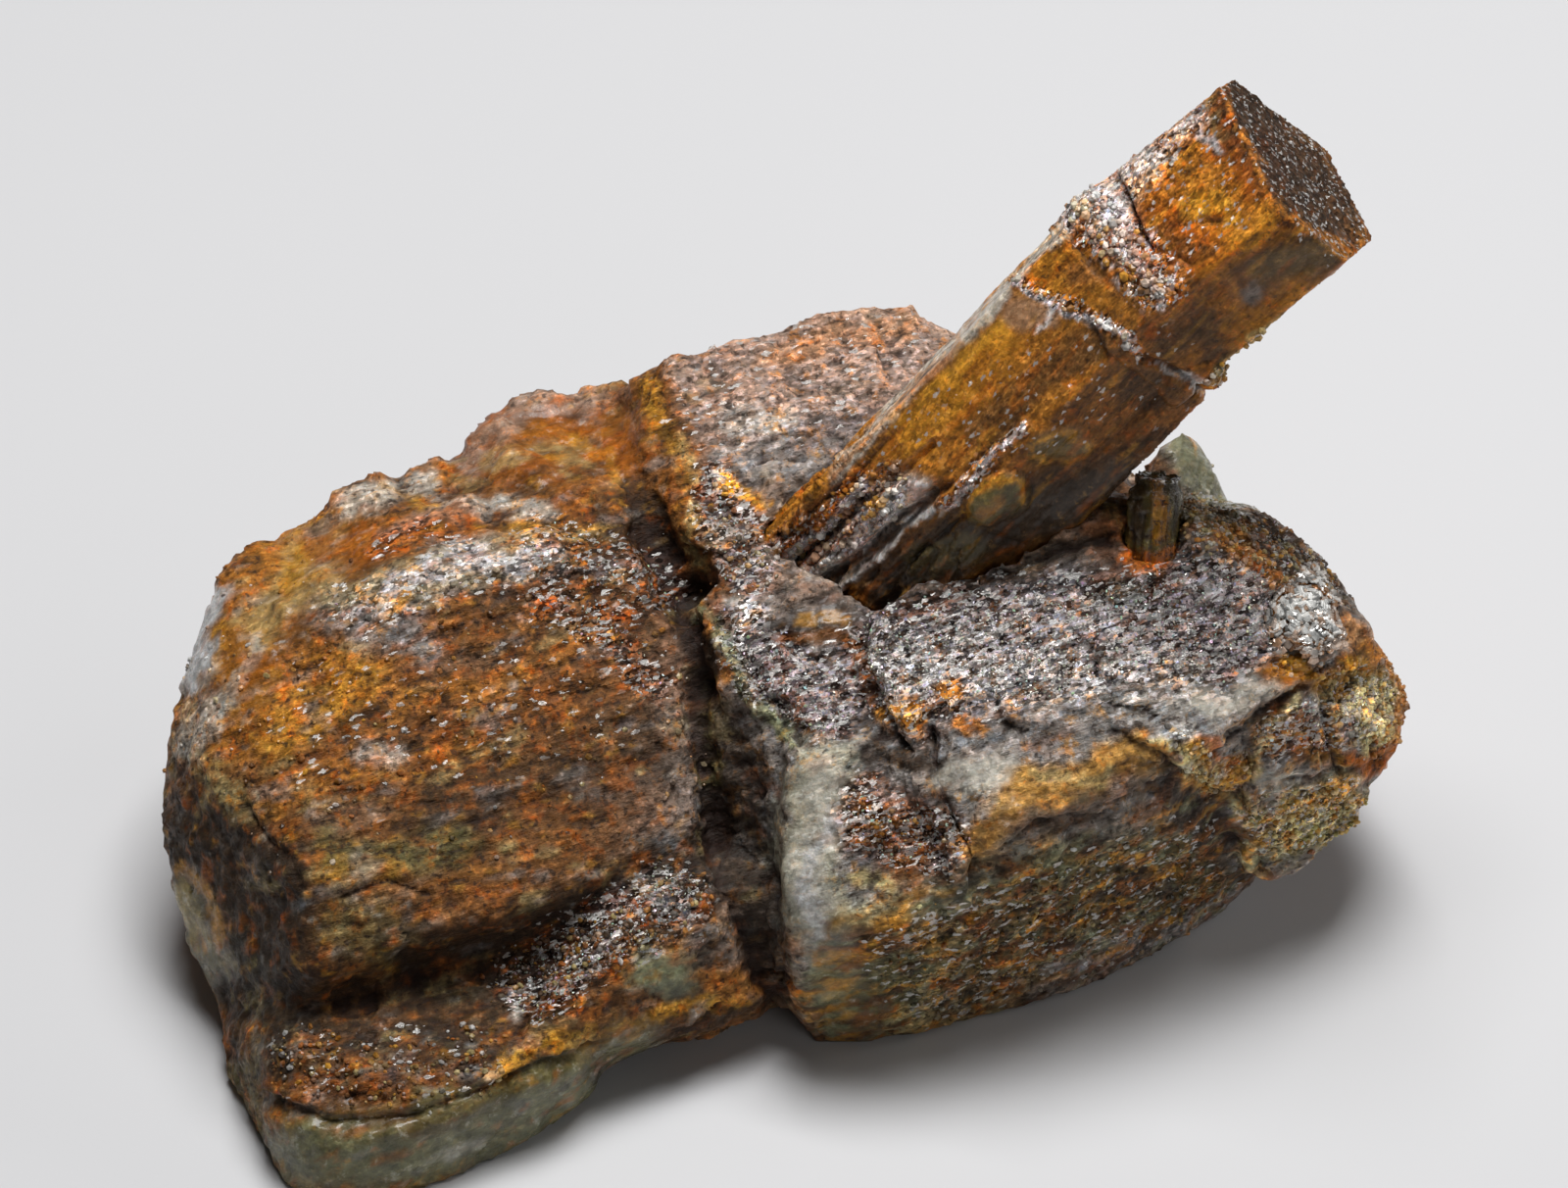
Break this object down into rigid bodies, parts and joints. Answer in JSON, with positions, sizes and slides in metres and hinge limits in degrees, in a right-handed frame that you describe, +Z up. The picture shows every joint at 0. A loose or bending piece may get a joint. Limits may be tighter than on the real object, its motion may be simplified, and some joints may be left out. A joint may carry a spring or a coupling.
{
  "type": "beryl crystal on quartz matrix",
  "caption": "Rust-stained six-sided beryl prism leaning out of a broken piece of iron-stained quartz, with a short side crystal and a round mica book.",
  "frame": {"origin": "middle of the bounding box, on the surface that the specimen rests on", "axes": "+Z up; +X along the longest side, towards the side that the long crystal leans to; -Y towards the eye in the picture"},
  "size_m": [0.1094, 0.0784, 0.0822],
  "materials": {
    "quartz_matrix": "rough broken quartz, glassy where clean, matt where rust-stained",
    "beryl_crystal": "satin, golden brown, a little see-through",
    "side_beryl": "glassy, smoky yellow",
    "mica_rosette": "sparkling silver flakes"
  },
  "bodies": {
    "root": {"quartz_matrix": "quartz_matrix", "beryl_crystal": "beryl_crystal", "side_beryl": "side_beryl", "mica_rosette": "mica_rosette"}
  },
  "joints": []
}
